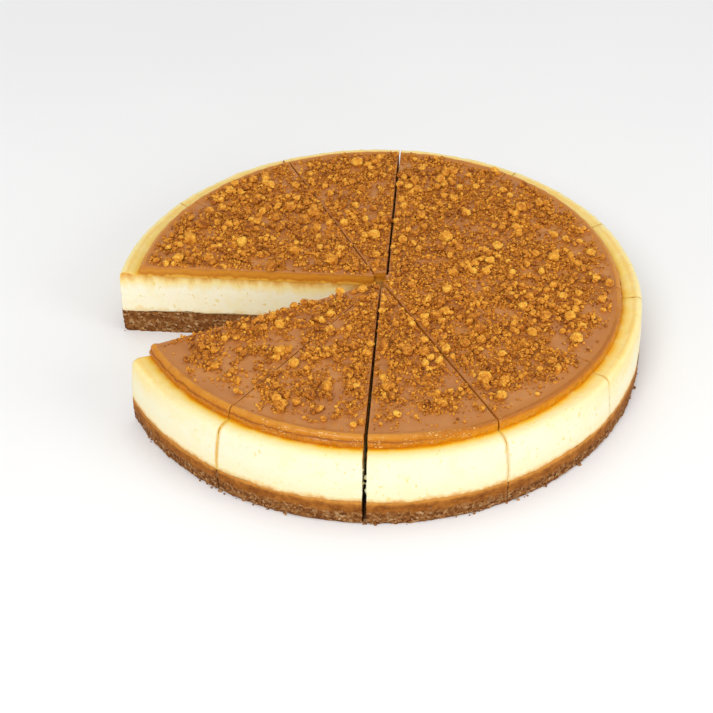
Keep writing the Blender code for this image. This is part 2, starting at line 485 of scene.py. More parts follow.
def shape_filling(mesh, ribs):
    """Makes the filling uneven, with pits, chips along its cuts and crust dragged over them."""
    points, normals = points_and_normals(mesh)
    height = points[:, 2]
    radius = np.hypot(points[:, 0], points[:, 1])
    cut = read_attribute(mesh, "cut_face")
    near_edge = 1 - smooth(ribs.from_cut(points), 0.2 * MM, 1.4 * MM)
    wall = smooth(radius, TOPPING_RADIUS - 1 * MM, TOPPING_RADIUS + 2 * MM)
    crest = smooth(height, 32 * MM, 34 * MM) * smooth(radius, 119 * MM, 122 * MM)
    pits = np.clip(ripple(points, 1.5 * MM, 4.4) - 0.42, 0, None)
    push = 0.35 * ripple(points, 24 * MM, 6.1) + 0.12 * ripple(points, 6 * MM, 2.5) - 0.9 * pits
    push += crest * (0.25 * ripple(points, 5 * MM, 3.3) + 0.28 * ripple(points, 1.8 * MM, 7.7))
    chips = near_edge * wall * np.clip(ripple(points, 2.2 * MM, 1.9) - 0.05, 0, None) * 0.8
    face = 0.16 * ripple(points * (1, 1, 0.35), 7 * MM, 8.8) + 0.05 * ripple(points, 1.6 * MM, 2.9)
    amount = MM * np.where(cut > 0.5, face - chips, wall * (push - chips))
    moved = points + normals * amount[:, None]
    slit = np.zeros(len(points))
    for gap, smear, outward, away, on_wall in sides_of_cuts(ribs, points, normals):
        slit = np.maximum(slit, smear * (1 - smooth(away, 0.2 * MM, 1.1 * MM)) * on_wall)
        if smear:
            touch = (1 - smooth(away, 0, CLOSING)) * wall * (0.62 + 0.06 * ripple(points, 2.4 * MM, 5.5))
            moved += outward * (touch * gap * MM)[:, None]
    write_attribute(mesh, "slit", slit)
    moved[:, 2] += seam_height(points) * (1 - smooth(height, FILLING_FOOT, 19 * MM))
    write_points(mesh, moved)
    soften(mesh)


def topping_section(ribs):
    """The topping's side up to its lip, and its level top."""
    bends = []
    for lipped, plain in zip(LIPPED_EDGE, PLAIN_EDGE):
        inset, rise = (mix(one, two, ribs.plain) * MM for one, two in zip(lipped, plain))
        bends.append((TOPPING_RADIUS - inset, TOPPING_FOOT + rise))
    bends[0] = (bends[0][0], FILLING_TOP - OVERLAP)
    side = ribs.laid(finer(profile_rows(ribs, *bends[:LIP_CREST + 1]), EDGE_STEP))
    lip = ribs.laid(finer(profile_rows(ribs, *reversed(bends[LIP_CREST:])), LIP_STEP))
    length = lip[:, :1, 0]
    level = spread(float(length.mean()), STEP)[None, :-1] * length
    level = np.stack((level, np.full(level.shape, TOPPING_HEIGHT)), axis=-1)
    return Section(side, np.concatenate((level, lip), axis=1), 0)


def shape_topping(mesh, ribs):
    """Dents the topping's edge, and raises its top where fine crumbs are packed."""
    points, normals = points_and_normals(mesh)
    cut = read_attribute(mesh, "cut_face")
    radius = np.hypot(points[:, 0], points[:, 1])
    level = smooth(points[:, 2], *LEVEL_HEIGHT)
    edge = (1 - level) * (1 - cut)
    push = 0.15 * ripple(points, 13 * MM, 1.1) * level
    push += edge * 0.4 * ripple(points, 4.5 * MM, 5.2)
    push += edge * 0.35 * ripple(points, 2 * MM, 7.3)
    push += 0.1 * ripple(points, 1.4 * MM, 6.6) * np.maximum(edge, cut)
    push *= MM
    lip = smooth(radius, *LIP_RADIUS) * level
    push += lip * 0.3 * MM * ripple(points, 4.5 * MM, 2.4)
    points += normals * push[:, None]
    clear = smooth(ribs.from_cut(points), *BED_OFF_CUT) * (1 - smooth(radius, *BED_RADIUS))
    bed = crumb_bed().bed_at(points) * clear * (normals[:, 2] > 0.7)
    points[:, 2] += bed
    write_attribute(mesh, "crumbs", smooth(bed, *BED_SHOWS))
    write_attribute(mesh, "bed", bed / MM)
    write_attribute(mesh, "plain", plain_share(points))
    write_points(mesh, points)


# ---------------------------------------------------------------- crumbs


# Each kind of crumb: how many, their smallest and largest width in millimetres, how fine and how
# rough their mesh is, and how flat they lie, as a share of their width.
Kind = namedtuple("Kind", "count smallest largest fineness rough flat")
KINDS = {
    "crumb_nuggets": Kind(150, 3.6, 5.8, 4, 0.22, 0.85),
    "crumb_lumps": Kind(620, 2.4, 3.9, 3, 0.26, 0.85),
    "crumb_grains": Kind(2400, 1.4, 2.3, 2, 0.26, 0.82),
    "crumb_specks": Kind(9600, 0.85, 1.45, 1, 0.24, 0.85),
    "crumb_dust": Kind(9000, 0.45, 0.85, 1, 0.24, 0.85),
}
SCRAPS = Kind(8, 1.2, 2.4, 3, 0.3, 0.9)
FALLEN = Kind(260, 0.6, 1.7, 2, 0.3, 0.75)
PACKED = Kind(9000, 1.0, 2.0, 0, 0, 0.75)  # these have no mesh of their own

# How crumbs come to rest: how high their middles stand above what they lie on, as a share of
# their half height, how high they may lie, and the chance of a stray in a bare place.
Rest = namedtuple("Rest", "stand limit strays")
PACKED_REST = Rest(0.2, 0.5 * MM, 0)
LOOSE_REST = Rest(0.62, 2.0 * MM, 0.05)
NUGGET_REST = Rest(0.62, 1.2 * MM, 0.05)

# How much of the topping crumbs cover, the sizes and seeds of its patches, and how much barer it
# is in places. The directions are in degrees.
USUAL_COVER = 0.74
PATCHES = (13 * MM, 4.3), (5 * MM, 8.1)
BACK, BACK_SHARE = (25, 180), 0.3  # the back has only this share of the edge's bareness
FRONT, FRONT_BARER = (205, 330), 0.14
FIRST_SLICE, FIRST_SLICE_BARER = (205, 236), 0.16

HUB_RADIUS = 5.5 * MM  # no crumb falls inside
EDGE_ROOM = 112.4 * MM  # nor outside
WIDE_GAP = 0.7  # in millimetres at the rim: crumbs keep off the edges of wider cuts
KEPT_CLEAR = 0.2 * MM  # by this much
SMALL_OFTEN = 1.6  # the higher, the more of the loose crumbs are small
FALLEN_STAND = 0.85  # how high a fallen bit's middle stands, as a share of its half height
WIDEST_CUT, NEXT_CUT = CUTS[2], CUTS[3]
TEMPLATES = 14  # how many different shapes each kind has
BRIGHTNESS = 0.0, 0.9  # from the darkest to the lightest crumb
BIGGER_BRIGHTER = 0.07  # for each millimetre of radius


class CrumbBed:
    """How high crumbs lie on the topping, on a square grid that starts packed with fine crumbs."""

    CELL = 0.4 * MM
    HALF = 300  # cells from the middle to the grid's edge

    def __init__(self, seed):
        self.chance = np.random.default_rng(seed)
        self.height = np.zeros((2 * self.HALF, 2 * self.HALF))
        for _ in range(PACKED.count):
            radius = self.chance.uniform(PACKED.smallest / 2, PACKED.largest / 2) * MM
            settle(self, radius, PACKED.flat, PACKED_REST)
        self.packed = self.height.copy()

    def cell(self, value):
        return value / self.CELL + self.HALF

    def window(self, x, y, radius):
        """The cells within radius of the place, and the distance of each from it."""
        low_x, high_x = int(self.cell(x - radius)), int(self.cell(x + radius)) + 2
        low_y, high_y = int(self.cell(y - radius)), int(self.cell(y + radius)) + 2
        across = (np.arange(low_x, high_x) - self.HALF) * self.CELL - x
        along = (np.arange(low_y, high_y) - self.HALF) * self.CELL - y
        distance = np.hypot(across[:, None], along[None, :])
        return (slice(low_x, high_x), slice(low_y, high_y)), distance

    def drop(self, x, y, radius, flat, rest):
        """Lets a crumb fall. Returns the height of its middle, or None where it would lie too high."""
        window, distance = self.window(x, y, radius)
        under = self.height[window][distance < max(0.75 * radius, self.CELL)]
        ground = mix(under.mean(), under.max(), 0.5)
        if ground > rest.limit:
            return None
        middle = ground + radius * flat * rest.stand
        dome = middle + flat * np.sqrt(np.clip(radius**2 - distance**2, 0, None))
        raised = np.maximum(self.height[window], dome)
        self.height[window] = np.where(distance < radius, raised, self.height[window])
        return middle

    def bed_at(self, points):
        """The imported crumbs' height at these places, between the grid's cells."""
        x, y = self.cell(points[:, 0]), self.cell(points[:, 1])
        left, low = np.floor(x).astype(int), np.floor(y).astype(int)
        u, v = x - left, y - low
        grid = self.packed
        near = mix(grid[left, low], grid[left + 1, low], u)
        far = mix(grid[left, low + 1], grid[left + 1, low + 1], u)
        return mix(near, far, v)


def cover(x, y):
    """How likely a place on the topping is to be covered with crumbs, from 0 to 1."""
    radius = math.hypot(x, y)
    turn = math.degrees(math.atan2(y, x)) % 360
    amount = USUAL_COVER + sum(0.9 * noise.noise((x / size, y / size, seed)) for size, seed in PATCHES)
    bare = 0.22 * float(smooth(radius, 84 * MM, 100 * MM)) + 0.5 * float(smooth(radius, 101 * MM, 111 * MM))
    amount -= bare * (BACK_SHARE if BACK[0] < turn < BACK[1] else 1)
    if FRONT[0] < turn < FRONT[1]:
        amount -= FRONT_BARER * float(smooth(radius, 50 * MM, 80 * MM))
    if FIRST_SLICE[0] < turn < FIRST_SLICE[1]:
        amount -= FIRST_SLICE_BARER
    return min(max(amount, 0), 1)


def past_cut(cut, x, y):
    """How far a place lies ahead along a cut, and how far to its left."""
    angle = math.radians(cut.direction)
    ahead = x * math.cos(angle) + y * math.sin(angle)
    return ahead, y * math.cos(angle) - x * math.sin(angle) - cut.offset * MM


def half_gap(cut, ahead):
    """Half the width of a cut's gap that far along it."""
    return mix(cut.inner_gap, cut.outer_gap, ahead / CAKE_RADIUS) * MM / 2


def gap_clearance(x, y):
    """How far a place lies from the nearest cut's edge, or below 0 in the hub and the open wedge."""
    (_, past_first), (ahead, past_last) = past_cut(CUTS[0], x, y), past_cut(CUTS[-1], x, y)
    if past_first < 0 < past_last and ahead > 0 or math.hypot(x, y) < HUB_RADIUS:
        return -1.0
    nearest = 1.0
    for cut in CUTS:
        ahead, aside = past_cut(cut, x, y)
        if ahead > 0:
            kept_clear = KEPT_CLEAR if cut.outer_gap > WIDE_GAP else 0
            nearest = min(nearest, abs(aside) - half_gap(cut, ahead) - kept_clear)
    return nearest


def lump_shapes(kind, chance):
    """Rough little bodies of unit radius, each with its points' relief, and the faces that all share.

    The relief is below 0 in crevices and above 0 on knobs.
    """
    edit = bmesh.new()
    bmesh.ops.create_icosphere(edit, subdivisions=kind.fineness, radius=1)
    ball = np.array([vert.co for vert in edit.verts])
    faces = np.array([[vert.index for vert in face.verts] for face in edit.faces])
    edit.free()
    shapes = []
    for _ in range(TEMPLATES):
        seed = chance.uniform(0, 90)
        relief = 0.6 * ripple(ball, 0.9, seed)
        relief += 0.9 * (np.abs(ripple(ball, 0.5, seed + 3)) - 0.28)
        if kind.fineness > 2:
            relief += 0.6 * (np.abs(ripple(ball, 0.24, seed + 7)) - 0.28)
        stretch = chance.uniform(0.8, 1.2, 3)
        shapes.append((ball * stretch * (1 + kind.rough * relief * 1.5)[:, None], relief))
    return shapes, faces


def turned(chance):
    """A random turn, as a 3 x 3 matrix."""
    axis = Vector(chance.normal(size=3)).normalized()
    return np.array(Matrix.Rotation(chance.uniform(0, 2 * math.pi), 3, axis))


def pick_place(chance, radius, strays):
    """A random place on the topping, more often where crumbs lie thick."""
    while True:
        out = EDGE_ROOM * math.sqrt(chance.uniform())
        angle = chance.uniform(0, 2 * math.pi)
        x, y = out * math.cos(angle), out * math.sin(angle)
        covered = chance.uniform() < cover(x, y) + strays
        if covered and out + radius < EDGE_ROOM and gap_clearance(x, y) > 0.5 * radius:
            return x, y


def settle(bed, radius, flat, rest):
    """Finds a place for a crumb, and returns its middle."""
    while True:
        x, y = pick_place(bed.chance, radius, rest.strays)
        middle = bed.drop(x, y, radius, flat, rest)
        if middle is not None:
            return x, y, middle


def radius_of(kind, share):
    """The radius in metres of a crumb that is at that share of its kind's range of widths."""
    return mix(kind.smallest, kind.largest, share) * MM / 2


def heap(name, kind, places, chance):
    """The mesh of crumbs of one kind, one at each (x, y, height of its middle, radius)."""
    shapes, faces = lump_shapes(kind, chance)
    points, tones, reliefs, triangles = [], [], [], []
    for number, (*place, radius) in enumerate(places):
        shape, relief = shapes[chance.integers(TEMPLATES)]
        placed = shape @ turned(chance).T * radius
        placed[:, 2] *= kind.flat
        points.append(placed + place)
        triangles.append(faces + number * len(shape))
        bright = chance.uniform(*BRIGHTNESS) + radius / MM * BIGGER_BRIGHTER
        tones.append(np.full(len(shape), bright))
        reliefs.append(relief)
    mesh = bpy.data.meshes.new(name)
    mesh.from_pydata(np.concatenate(points).tolist(), [], np.concatenate(triangles).tolist())
    write_attribute(mesh, "tone", np.concatenate(tones))
    write_attribute(mesh, "relief", np.concatenate(reliefs))
    if kind.fineness > 2:
        mesh.shade_smooth()
    return mesh


def scattered(bed, kind):
    """Where each crumb of a kind comes to rest on the topping."""
    rest = NUGGET_REST if kind.fineness > 3 else LOOSE_REST
    for _ in range(kind.count):
        radius = radius_of(kind, bed.chance.uniform() ** SMALL_OFTEN)
        x, y, middle = settle(bed, radius, kind.flat, rest)
        yield x, y, TOPPING_HEIGHT + middle, radius


def in_cut(cut, ahead, aside):
    """The place that lies that far along a cut, and that share of its half gap to the left."""
    angle = math.radians(cut.direction)
    along = Vector((math.cos(angle), math.sin(angle)))
    left = Vector((-math.sin(angle), math.cos(angle)))
    return along * ahead + left * (cut.offset * MM + aside * half_gap(cut, ahead))


def scrap_places(chance):
    """Bits of cheese that bridge the widest cut near the wall."""
    for _ in range(SCRAPS.count):
        ahead = CAKE_RADIUS - chance.uniform(0.8, 7) * MM
        x, y = in_cut(WIDEST_CUT, ahead, chance.choice((-1, 1)) * chance.uniform(0.6, 1.1))
        height = chance.triangular(BASE_HEIGHT, BASE_HEIGHT + 3 * MM, 30 * MM)
        yield x, y, height, radius_of(SCRAPS, chance.uniform())


def fallen_places(chance):
    """Bits of the base: every third one lies along its foot, and the others in the two open cuts."""
    for number in range(FALLEN.count):
        radius = radius_of(FALLEN, chance.uniform() ** 2)
        if number % 3:
            cut = (WIDEST_CUT, NEXT_CUT)[number % 2]
            x, y = in_cut(cut, CAKE_RADIUS - chance.uniform(0, 14) * MM, chance.uniform(-0.8, 0.8))
        else:
            turn = math.radians(chance.uniform(CUTS[0].direction, CUTS[-1].direction))
            out = CAKE_RADIUS + chance.uniform(-0.6, 0.5) * MM
            x, y = out * math.cos(turn), out * math.sin(turn)
        yield x, y, radius * FALLEN.flat * FALLEN_STAND, radius


BEDS = {}


def crumb_bed():
    """The one bed that the topping and the crumbs share."""
    seed = bpy.context.scene.cheesecake_crumbs.seed
    if seed not in BEDS:
        BEDS[seed] = CrumbBed(seed)
    return BEDS[seed]


# ---------------------------------------------------------------- materials


class Wire:
    """An output socket that takes part in arithmetic: each operation adds a Math node."""

    def __init__(self, graph, socket):
        self.graph = graph
        self.socket = socket

    def __add__(self, other):
        return self.graph.math("ADD", self, other)

    def __sub__(self, other):
        return self.graph.math("SUBTRACT", self, other)

    def __rsub__(self, other):
        return self.graph.math("SUBTRACT", other, self)

    def __mul__(self, other):
        return self.graph.math("MULTIPLY", self, other)

    def __truediv__(self, other):
        return self.graph.math("DIVIDE", self, other)

    def __pow__(self, other):
        return self.graph.math("POWER", self, other)

    __radd__ = __add__
    __rmul__ = __mul__

    def clamped(self):
        return self.graph.math("ADD", self, 0, use_clamp=True)

    def above(self, low, high):
        """0 below low, 1 above high, with a soft step between them."""
        return self.graph.node(
            "ShaderNodeMapRange", {"interpolation_type": "SMOOTHSTEP"},
            {"Value": self, "From Min": low, "From Max": high, "To Min": 0, "To Max": 1},
        )


class Graph:
    """The node tree of one material, with positions in millimetres."""

    def __init__(self, name):
        self.material = bpy.data.materials.new(name)
        self.material.use_nodes = True
        self.tree = self.material.node_tree
        self.tree.nodes.clear()
        place = self.node("ShaderNodeTexCoord", {}, {}, "Object")
        self.place = self.vector("SCALE", place, Scale=1 / MM)
        split = self.node("ShaderNodeSeparateXYZ", {}, {"Vector": self.place}, None)
        x, y = Wire(self, split.outputs["X"]), Wire(self, split.outputs["Y"])
        self.height = Wire(self, split.outputs["Z"])
        self.radius = (x * x + y * y) ** 0.5
        self.front = (y / (-CAKE_RADIUS / MM)).clamped()

    def node(self, kind, settings, sockets, output=0):
        """Adds a node: its settings first, then its sockets' values or links. Gives the wanted output."""
        node = self.tree.nodes.new(kind)
        for name, value in settings.items():
            if name == "stops":
                self.set_stops(node.color_ramp, value)
            else:
                setattr(node, name, value)
        for name, value in sockets.items():
            socket = node.inputs[name] if isinstance(name, int) else self.find(node.inputs, name)
            if isinstance(value, Wire):
                self.tree.links.new(value.socket, socket)
            elif socket.type == "RGBA":
                socket.default_value = (*value, 1)
            else:
                socket.default_value = value
        return node if output is None else Wire(self, node.outputs[output])

    @staticmethod
    def find(sockets, name):
        for socket in sockets:
            if name in (socket.identifier, socket.name):
                return socket
        raise KeyError(f"no socket {name}")

    @staticmethod
    def set_stops(ramp, stops):
        while len(ramp.elements) < len(stops):
            ramp.elements.new(1)
        for element, (position, colour) in zip(ramp.elements, stops):
            element.position = position
            element.color = (*colour, 1)

    def math(self, operation, one, two, use_clamp=False):
        return self.node("ShaderNodeMath", {"operation": operation, "use_clamp": use_clamp}, {0: one, 1: two})

    def vector(self, operation, *sockets, **named):
        sockets = {**dict(enumerate(sockets)), **named}
        return self.node("ShaderNodeVectorMath", {"operation": operation}, sockets)

    def stretched(self, *scale):
        return self.vector("MULTIPLY", self.place, scale)

    def noise(self, size, detail=2.0, roughness=0.5, place=None):
        """Noise from 0 to 1 with features about size millimetres across."""
        sockets = {"Vector": place or self.place, "Scale": 1 / size, "Detail": detail, "Roughness": roughness}
        return self.node("ShaderNodeTexNoise", {}, sockets)

    def cells(self, size, output="Distance"):
        """Cells about size millimetres across: the distance from each one's middle, or its random colour."""
        return self.node("ShaderNodeTexVoronoi", {}, {"Vector": self.place, "Scale": 1 / size}, output)

    def flakes(self, size):
        """A random number from 0 to 1 for each cell about size millimetres across."""
        return self.node("ShaderNodeSeparateColor", {}, {"Color": self.cells(size, "Color")})

    def attribute(self, name):
        return self.node("ShaderNodeAttribute", {"attribute_name": name}, {}, "Fac")

    def ramp(self, value, *stops):
        return self.node("ShaderNodeValToRGB", {"stops": stops}, {"Fac": value})

    def blend(self, share, one, two):
        """One colour at share 0, the other at share 1."""
        sockets = {"Factor_Float": share, "A_Color": one, "B_Color": two}
        return self.node("ShaderNodeMix", {"data_type": "RGBA"}, sockets, 2)

    def bump(self, height, depth, strength):
        """A normal from a height of 0 to 1 that stands for depth metres."""
        return self.node("ShaderNodeBump", {}, {"Height": height, "Distance": depth, "Strength": strength})

    def finish(self, **sockets):
        """Adds the shader, whose sockets are named with _ for each space, and gives the material."""
        named = {name.replace("_", " "): value for name, value in sockets.items()}
        shader = self.node("ShaderNodeBsdfPrincipled", {}, named)
        self.node("ShaderNodeOutputMaterial", {}, {"Surface": shader}, None)
        return self.material


def tone(name):
    """One of the cake's main colours."""
    return tuple(getattr(bpy.context.scene.cheesecake_colours, name))


def base_material():
    graph = Graph("biscuit_base")
    cut = graph.attribute("cut_face")
    grain = graph.attribute("grain")
    fine = graph.noise(0.55, detail=3)
    broad = graph.noise(6, detail=2)
    streaks = graph.noise(2.2, detail=3, place=graph.stretched(1, 1, 1.5))
    smooth_part = graph.ramp(
        broad * 0.4 + fine * 0.3 + streaks * 0.3,
        (0.36, shade(116, 60, 12)), (0.5, tone("base")), (0.64, shade(178, 112, 42)),
    )
    pores = graph.noise(1.3, detail=1).above(0.66, 0.74)
    smooth_part = graph.blend(pores * 0.6, smooth_part, shade(98, 52, 18))
    crumbly = graph.ramp(
        graph.flakes(1.15) * 0.55 + fine * 0.5,
        (0.2, shade(86, 44, 12)), (0.4, shade(126, 74, 28)), (0.58, shade(148, 96, 46)),
        (0.74, shade(168, 122, 74)), (0.92, shade(216, 186, 144)),
    )
    # The lower part of the wall is as crumbly as the cut faces.
    seen_height = graph.height + (graph.noise(3.5) - 0.5) * 5
    rough_part = graph.math("MAXIMUM", 1 - seen_height.above(5.4, 8.6), cut)
    colour = graph.blend(rough_part, smooth_part, crumbly)
    # Painted shade: the crevices of the grain on the crumbly part are darkened.
    painted_crease_shade = (0.1 - grain).above(0, 0.55)
    colour = graph.blend(painted_crease_shade * rough_part * 0.4, colour, shade(84, 44, 16))
    near_top = (graph.height + (graph.noise(2.5) - 0.5) * 2.5).above(10.4, 13.4) * (1 - cut)
    colour = graph.blend(near_top * 0.8, colour, shade(222, 152, 66))
    surface = graph.noise(0.8, detail=4, roughness=0.6) * 0.6 + graph.cells(1.2) * 0.5
    normal = graph.bump(surface * (rough_part * 0.75 + 0.25), 0.0006, 0.8)
    return graph.finish(Base_Color=colour, Roughness=0.8, Specular_IOR_Level=0.15, Normal=normal)


def filling_material():
    graph = Graph("cheese_filling")
    cut = graph.attribute("cut_face")
    height, radius = graph.height, graph.radius
    drift = graph.noise(9, detail=2) - 0.5

    # The wall, stained by the base at its foot, with painted shade at the sides and the back.
    bleed = (graph.noise(2.6, detail=3) - 0.5) * 3.4
    wall = graph.ramp(
        (height - 13 + drift * 3 + bleed) / 21.5,
        (0.0, shade(214, 152, 80)), (0.05, shade(240, 204, 138)), (0.12, shade(246, 233, 190)),
        (0.5, tone("filling")), (1.0, tone("filling")),
    )
    baked_and_shaded_wall = graph.ramp(
        (height - 12.5 + drift * 4) / 21.5,
        (0.3, tone("filling")), (0.7, shade(246, 232, 184)), (0.9, shade(246, 224, 148)),
        (1.0, shade(244, 212, 120)),
    )
    # 0 at the front, 1 at the sides and back. The wall's baked yellow near its top is real crust,
    # but painting it only here, darker than the brightly lit front, is painted shade.
    side = 1 - graph.front.above(0.45, 0.85)
    wall = graph.blend(side * height.above(18, 26) * 0.9, wall, baked_and_shaded_wall)

    # The rim, from the caramel outwards.
    inward = radius - 116.4 + drift * 1.6
    side_rim = graph.ramp(
        inward / 10.5,
        (0.0, shade(232, 154, 8)), (0.08, shade(240, 186, 40)), (0.24, shade(246, 212, 104)),
        (0.5, tone("rim")), (1.0, shade(249, 232, 172)),
    )
    front_rim = graph.ramp(
        inward / 8.5,
        (0.0, shade(232, 154, 8)), (0.1, shade(240, 186, 30)), (0.22, shade(246, 216, 110)),
        (0.45, shade(246, 232, 172)), (1.0, tone("filling")),
    )
    streak_start = (radius + (graph.noise(14) - 0.5) * 3).above(120.6, 122)
    streak = streak_start * (1 - (radius + drift * 2).above(122.4, 124))
    side_rim = graph.blend(streak * 0.6, side_rim, shade(242, 198, 92))
    rim = graph.blend(side, front_rim, side_rim)
    colour = graph.blend(height.above(31.0, 34.0), wall, rim)

    # The cut faces, the crumbled middle and the crust that is dragged into the cuts.
    smear = graph.noise(5, detail=3, place=graph.stretched(1, 1, 0.35)) - 0.5
    face = graph.ramp(
        (height - 13 + smear * 9) / 22,
        (0.0, shade(246, 222, 172)), (0.1, shade(252, 243, 212)), (0.6, shade(253, 246, 220)),
        (0.8, shade(250, 228, 160)), (0.93, shade(234, 184, 92)), (1.0, shade(214, 146, 54)),
    )
    colour = graph.blend(cut, colour, face)
    colour = graph.blend((1 - radius.above(8, 22)) * 0.8, colour, shade(196, 132, 50))
    slit = (graph.attribute("slit") * (0.5 + graph.noise(1.2) * 0.9)).clamped()
    colour = graph.blend(slit * 0.95, colour, shade(238, 174, 32))

    clusters = graph.noise(11, detail=1).above(0.48, 0.6)
    flecks = graph.noise(1.9, detail=2, roughness=0.4).above(0.6, 0.72) * (clusters * 0.8 + 0.2)
    colour = graph.blend(flecks * 0.65, colour, shade(238, 208, 96))
    patches = graph.noise(9, detail=4).above(0.48, 0.72)
    colour = graph.blend(patches * 0.3, colour, shade(247, 230, 160))
    return graph.finish(
        Base_Color=colour, Roughness=0.5, Specular_IOR_Level=0.35,
        Subsurface_Weight=0.25, Subsurface_Radius=(1.0, 0.75, 0.4), Subsurface_Scale=0.004,
        Normal=graph.bump(graph.noise(2.2, detail=4, roughness=0.55), 0.0005, 0.5),
    )


def crumb_colour(graph, amount):
    """The crumbs' colour, from dark at 0 to light at 1."""
    return graph.ramp(
        amount,
        (0.0, tone("crumb_dark")), (0.35, tone("crumb")), (0.7, tone("crumb_light")),
        (1.0, shade(254, 202, 80)),
    )


def topping_material():
    graph = Graph("caramel_topping")
    height, radius = graph.height, graph.radius
    foot = FILLING_TOP / MM
    cut = graph.attribute("cut_face")
    crumbs = graph.attribute("crumbs")
    plain = graph.attribute("plain")
    glaze = graph.ramp(
        graph.noise(16, detail=2),
        (0.3, shade(182, 116, 60)), (0.5, tone("glaze")), (0.7, shade(200, 136, 74)),
    )

    # The side, with a groove under its lip painted dark as shade in the groove, or plain.
    up = (height - foot + (graph.noise(3) - 0.5)) / 6.2
    lipped_edge = graph.ramp(
        up,
        (0.0, shade(246, 178, 14)), (0.06, shade(222, 146, 10)), (0.2, shade(202, 122, 12)),
        (0.48, shade(198, 118, 10)), (0.56, shade(146, 78, 8)), (0.64, shade(190, 112, 12)),
        (0.8, tone("caramel")), (1.0, shade(208, 138, 44)),
    )
    plain_edge = graph.ramp(
        up,
        (0.0, shade(246, 178, 14)), (0.08, shade(222, 146, 8)), (0.6, shade(206, 128, 8)),
        (0.76, shade(186, 108, 10)), (0.86, shade(168, 98, 22)), (1.0, shade(178, 112, 46)),
    )
    edge = graph.blend(plain, lipped_edge, plain_edge)
    patches = graph.noise(4.5, detail=3).above(0.5, 0.72)
    edge = graph.blend(patches * 0.45, edge, shade(176, 100, 10))
    mottle = (graph.noise(2.2, detail=3) - 0.5) * 3 + (graph.noise(7) - 0.5) * 4
    face = graph.ramp(
        (height - foot + mottle) / 5.8,
        (0.0, shade(234, 176, 62)), (0.25, shade(196, 120, 24)), (0.6, shade(214, 144, 40)),
        (1.0, shade(198, 126, 50)),
    )
    side = graph.blend(cut, edge, face)

    # The top, whose lip is clear caramel.
    ridge = (radius - plain * 0.8 + (graph.noise(2.5) - 0.5) * 1.4).above(113.2, 113.9)
    top = graph.blend(radius.above(109.5, 113.2) * 0.8, glaze, shade(190, 120, 50))
    top = graph.blend(ridge, top, tone("caramel"))
    on_top = height.above(39.2, 39.7) * (1 - ridge)
    colour = graph.blend(on_top * (1 - cut * 0.7), side, top)

    # The imported crumbs, with painted shade where their bed lies low and painted light where it stands high.
    grit = graph.noise(0.7, detail=3) * 0.55 + graph.flakes(1.3) * 0.5
    amount = grit * 0.85 + (graph.attribute("bed") - 0.8) * 0.3
    colour = graph.blend(crumbs, colour, crumb_colour(graph, amount))

    # The shine: small glints painted into the colour as highlights at the front, bubbles along the side, and
    # a wet coat where no crumbs lie.
    painted_glints = graph.noise(0.9, detail=1, place=graph.stretched(1, 1, 2)).above(0.62, 0.7)
    painted_glints = painted_glints * graph.noise(7).above(0.45, 0.6) * (1 - crumbs) * (1 - cut)
    painted_glints = painted_glints * graph.front.above(0.6, 0.9) * radius.above(113.8, 114.4)
    colour = graph.blend(painted_glints * 0.75, colour, shade(255, 220, 150))
    lower_band = (1 - height.above(37.0, 37.8)) * (1 - cut)
    bubbles = (1 - graph.cells(1.0).above(0.15, 0.45)) * lower_band
    wet = bubbles * 0.8 + height.above(38.6, 39.6) * 0.12 + graph.noise(5).above(0.55, 0.7) * lower_band * 0.5
    surface = graph.noise(1.1, detail=3) * (crumbs * 0.85 + 0.15) + bubbles * 1.2
    return graph.finish(
        Base_Color=colour, Roughness=0.42 + crumbs * 0.5 + (graph.noise(3) - 0.5) * 0.2,
        Specular_IOR_Level=0.25, Coat_Weight=((1 - crumbs) * wet).clamped(), Coat_Roughness=0.14,
        Subsurface_Weight=0.08, Subsurface_Radius=(1.0, 0.5, 0.2), Subsurface_Scale=0.002,
        Normal=graph.bump(surface, 0.0004, 0.7),
    )


def crumb_material():
    graph = Graph("biscuit_crumbs")
    grit = graph.noise(0.5, detail=3)
    # Painted shade and light: the crumbs are darker in the crevices of their relief and lighter on its knobs.
    amount = graph.attribute("tone") * 0.62 + grit * 0.6 + graph.attribute("relief") * 0.55 - 0.1
    return graph.finish(
        Base_Color=crumb_colour(graph, amount), Roughness=0.65, Specular_IOR_Level=0.28,
        Subsurface_Weight=0.1, Subsurface_Radius=(1.0, 0.5, 0.2), Subsurface_Scale=0.0015,
        Normal=graph.bump(graph.noise(0.45, detail=3, roughness=0.6), 0.0004, 0.9),
    )


def scrap_material():
    graph = Graph("cheese_scraps")
    colour = graph.ramp(graph.noise(0.8, detail=3), (0.3, shade(244, 226, 170)), (0.7, tone("filling")))
    return graph.finish(
        Base_Color=colour, Roughness=0.55, Subsurface_Weight=0.2, Subsurface_Scale=0.002,
        Normal=graph.bump(graph.noise(0.6), 0.0003, 0.7),
    )


def fallen_material():
    graph = Graph("fallen_base_bits")
    colour = graph.ramp(
        graph.attribute("tone") * 0.5 + graph.noise(0.6, detail=3) * 0.6,
        (0.2, shade(112, 62, 26)), (0.6, shade(168, 112, 60)), (1.0, shade(220, 188, 140)),
    )
    return graph.finish(
        Base_Color=colour, Roughness=0.8, Specular_IOR_Level=0.3,
        Normal=graph.bump(graph.noise(0.5), 0.0003, 0.8),
    )


def floor_material():
    graph = Graph("studio_floor")
    colour = graph.ramp(graph.noise(400, detail=2), (0.3, shade(244, 244, 244)), (0.7, shade(250, 250, 250)))
    return graph.finish(
        Base_Color=colour, Roughness=0.9, Specular_IOR_Level=0.1,
        Normal=graph.bump(graph.noise(5), 0.0002, 0.2),
    )


# ---------------------------------------------------------------- settings


